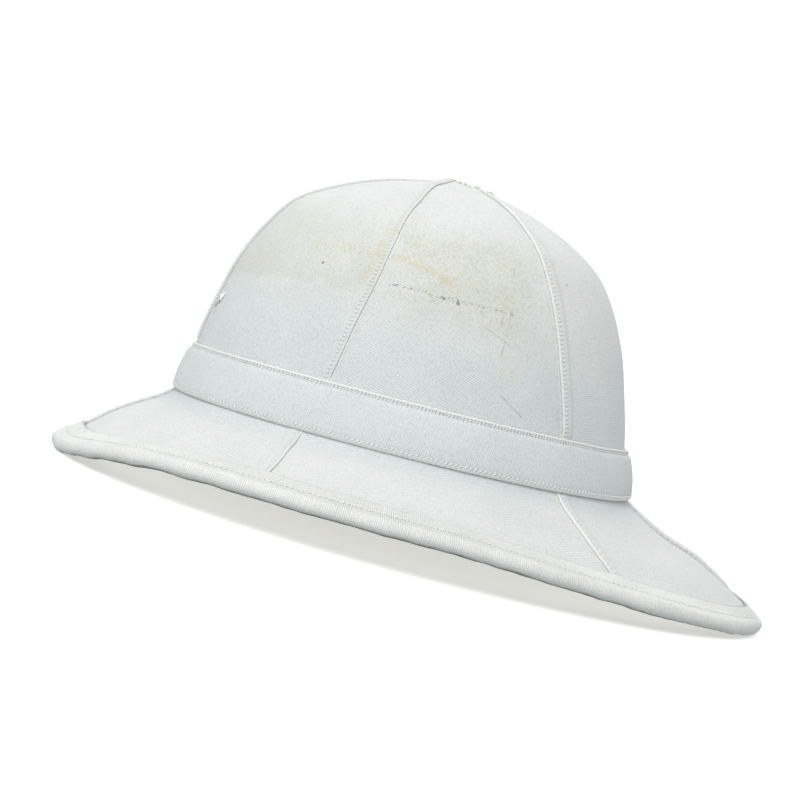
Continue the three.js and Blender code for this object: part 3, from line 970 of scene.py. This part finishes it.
# One small rounded thread is copied until there are enough, then each copy is laid in its frame
def layStitches(name, frames, material):
    bm = bmesh.new()
    sides, rings = stitchShape["sides"], stitchShape["rings"]
    bmesh.ops.create_uvsphere(bm, u_segments=sides, v_segments=rings, radius=1)
    for face in bm.faces:
        face.smooth = True
    spread = stitchShape["spread"]
    count = 1
    while count < len(frames):
        copied = bmesh.ops.duplicate(bm, geom=bm.verts[:] + bm.edges[:] + bm.faces[:])["geom"]
        moved = [item for item in copied if isinstance(item, bmesh.types.BMVert)]
        bmesh.ops.translate(bm, verts=moved, vec=(spread * count, 0, 0))
        count *= 2
    spare = [vert for vert in bm.verts if vert.co.x > spread * (len(frames) - 0.5)]
    bmesh.ops.delete(bm, geom=spare, context="VERTS")
    points = np.array([vert.co for vert in bm.verts])
    which = np.rint(points[:, 0] / spread).astype(int)
    points[:, 0] -= which * spread
    ends = smooth(0.6, 0.95, np.abs(points[:, 2]))
    frames = np.array(frames)[which]
    points = frames[:, 0] + np.einsum("vk,vkc->vc", points, frames[:, 1:])
    mesh = meshFrom(bm, name)
    mesh.vertices.foreach_set("co", (points * mm).astype(np.float32).ravel())
    mesh.attributes.new("end", "FLOAT", "POINT").data.foreach_set("value", ends.astype(np.float32))
    mesh.update()
    addPiece(name, mesh, material)
    print(name, "made")


def sewPanels(name, start, end):
    frames = []
    pitch = sewing["pitch"]
    for panel in panelList.values():
        for seam, lapped, inward in zip(panel["seams"], panel["laps"], (1, -1)):
            if not lapped:
                continue
            places = np.arange(start + pitch / 2, end, pitch)
            angles = besideSeam(seam, places, inward * sewing["row"])
            ground = unevenness(surfacePoint(places, angles)) + ridgeHeight(places, angles)
            offsets = 1.28 * lapHeight(seam, places) + ground + 0.08
            frames += stitchFrames(places, angles, offsets, pitch * stitchShape["fill"])
    layStitches(name, frames, sewingThread)


# Rows of stitches round a ring, whose own lengths say where the holes lie
def sewRing(name, lengths, rows):
    ringAngles, around = lengths
    frames = []
    for row in rows:
        middles = np.arange(row["pitch"] / 2, around[-1] - row["pitch"] / 3, row["pitch"])
        angles = np.interp(middles, around, ringAngles)
        places = row["place"] + 0 * angles
        length = row["pitch"] * row["fill"]
        frames += stitchFrames(places, angles, row["offset"] + 0 * angles, length, row["slant"])
    layStitches(name, frames, sewingThread)


frayShape = {"count": 140, "reach": 2.2, "rise": 1.1, "thick": 0.15, "shortest": 0.4, "longest": 1.2}


# Loose threads of the torn cloth: each lies at random near a place and angle
def frayedThreads(name, spots, material):
    frames = []
    for place, angle, rise in spots:
        centre = offsetPoint(place, angle, rise)
        run = Vector([random.gauss(0, 1) for _ in range(3)]).normalized()
        side = run.orthogonal().normalized()
        up = run.cross(side)
        long = random.uniform(frayShape["shortest"], frayShape["longest"])
        frames.append((centre, side * frayShape["thick"], up * frayShape["thick"], run * long))
    layStitches(name, frames, material)


sewingThread = threadMaterial("sewing_thread", (0.94, 0.94, 0.92, 1), (0.86, 0.855, 0.82, 1), 0.6)
frayedThread = threadMaterial("frayed_thread", (0.88, 0.87, 0.83, 1), (0.55, 0.53, 0.46, 1), 0.3)
yellowThread = threadMaterial("yellowed_thread", (0.80, 0.74, 0.60, 1), (0.55, 0.50, 0.38, 1), 0.3)
sewPanels("crown_stitching", sewing["start"], placeOf["bandTop"] - 0.8)
sewPanels("brim_stitching", brimSewing, placeOf["bindingEdge"] - 0.8)
sewRing("band_stitching", bandRound, bandRows)
bindingRow["place"] = placeOf["bindingEdge"] + bindingRow["row"]
bindingRows = [bindingRow | {"offset": 1.48}, bindingRow | {"offset": -form["wall"] - 1.5}]
sewRing("binding_stitching", bindingRound, bindingRows)
ventSpots = []
for k in range(frayShape["count"]):
    place, angle = frayShape["reach"] * random.random() ** 2, random.uniform(0, 360)
    ventSpots.append((place, angle, frayShape["rise"] * random.random()))
frayedThreads("vent_threads", ventSpots, frayedThread)
tearSpots = []
for k in range(tear["threads"]):
    tearSpots.append([random.uniform(*reach) for reach in tear["threadRanges"]])
frayedThreads("tear_threads", tearSpots, yellowThread)

# Floor, backdrop, light and camera

stage = {
    "floor": (0.86, 0.86, 0.86, 1),
    "glow": 0.48,
    "reach": 3,  # half the floor's width, and the backdrop's height
    "curveStart": -1.4,
    "curve": 0.5,  # radius between the floor and the backdrop
    "steps": 12,
}


def paperMaterial():
    sockets = {"Base Color": stage["floor"], "Roughness": 1.0, "Emission Color": (1, 1, 1, 1)}
    return Shader("floor_paper").finish(sockets | {"Emission Strength": stage["glow"]})


def buildFloor():
    bm = bmesh.new()
    bmesh.ops.create_grid(bm, x_segments=1, y_segments=1, size=stage["reach"])
    far = [edge for edge in bm.edges if all(vert.co.x < 0 for vert in edge.verts)]
    for vert in far[0].verts:
        vert.co.x = stage["curveStart"]
    steps, radius = stage["steps"], stage["curve"]
    for k in range(steps):
        turn = math.pi / 2 * (k + 1) / steps
        raised = bmesh.ops.extrude_edge_only(bm, edges=far)["geom"]
        far = [item for item in raised if isinstance(item, bmesh.types.BMEdge)]
        for vert in far[0].verts:
            vert.co.x = stage["curveStart"] - radius * math.sin(turn)
            vert.co.z = radius * (1 - math.cos(turn))
    for item in bmesh.ops.extrude_edge_only(bm, edges=far)["geom"]:
        if isinstance(item, bmesh.types.BMVert):
            item.co.z = stage["reach"]
    for face in bm.faces:
        face.smooth = True
    floor = addObject("floor", meshFrom(bm, "floor"))
    floor.data.materials.append(paperMaterial())
    floor.visible_diffuse = False


room = {"color": (0.96, 0.985, 0.995, 1), "strength": 0.578, "target": (0, 0, 0.08)}
lamps = {
    "key": {"place": (1.32, -0.62, 1.3), "size": 1.1, "power": 19, "color": (1, 0.99, 0.965)},
    "top": {"place": (0, 0.2, 1.9), "size": 1.6, "power": 1.3, "color": (1, 1, 1)},
    "front": {"place": (0.35, -1.5, 0.8), "size": 1.1, "power": 2.4, "color": (1, 1, 1)},
    "far": {"place": (-1.25, 0.2, 1.35), "size": 1.1, "power": 8.9, "color": (1, 1, 1)},
}


def addLight(name, lamp):
    data = bpy.data.lights.new(name, "AREA")
    data.shape = "DISK"
    data.size, data.energy, data.color = lamp["size"], lamp["power"], lamp["color"]
    light = addObject(name, data)
    light.location = lamp["place"]
    towards = Vector(room["target"]) - light.location
    light.rotation_euler = towards.to_track_quat("-Z", "Y").to_euler()


def buildLight():
    world = bpy.data.worlds.new("room")
    bpy.context.scene.world = world
    world.use_nodes = True
    background = world.node_tree.nodes["Background"]
    background.inputs["Color"].default_value = room["color"]
    background.inputs["Strength"].default_value = room["strength"]
    for name, lamp in lamps.items():
        addLight(name, lamp)
    bpy.context.scene.view_settings.view_transform = "Standard"


photoView = {
    "place": (0.629685, -0.121693, 0.081059),
    "forward": (-0.98388, 0.16632, -0.06567),
    "up": (-0.10704, -0.25359, 0.96137),
    "lens": 60.77,
    "sensor": 36,
    "shift": (-0.0039, 0.0562),
}


def buildCamera():
    data = bpy.data.cameras.new("photo_view")
    data.lens = photoView["lens"]
    data.sensor_width = photoView["sensor"]
    data.shift_x, data.shift_y = photoView["shift"]
    camera = addObject("photo_view", data)
    forward = Vector(photoView["forward"]).normalized()
    right = forward.cross(Vector(photoView["up"])).normalized()
    up = right.cross(forward)
    turn = Matrix((right, up, -forward)).transposed()
    camera.matrix_world = Matrix.Translation(photoView["place"]) @ turn.to_4x4()
    bpy.context.scene.camera = camera


buildFloor()
buildLight()
buildCamera()
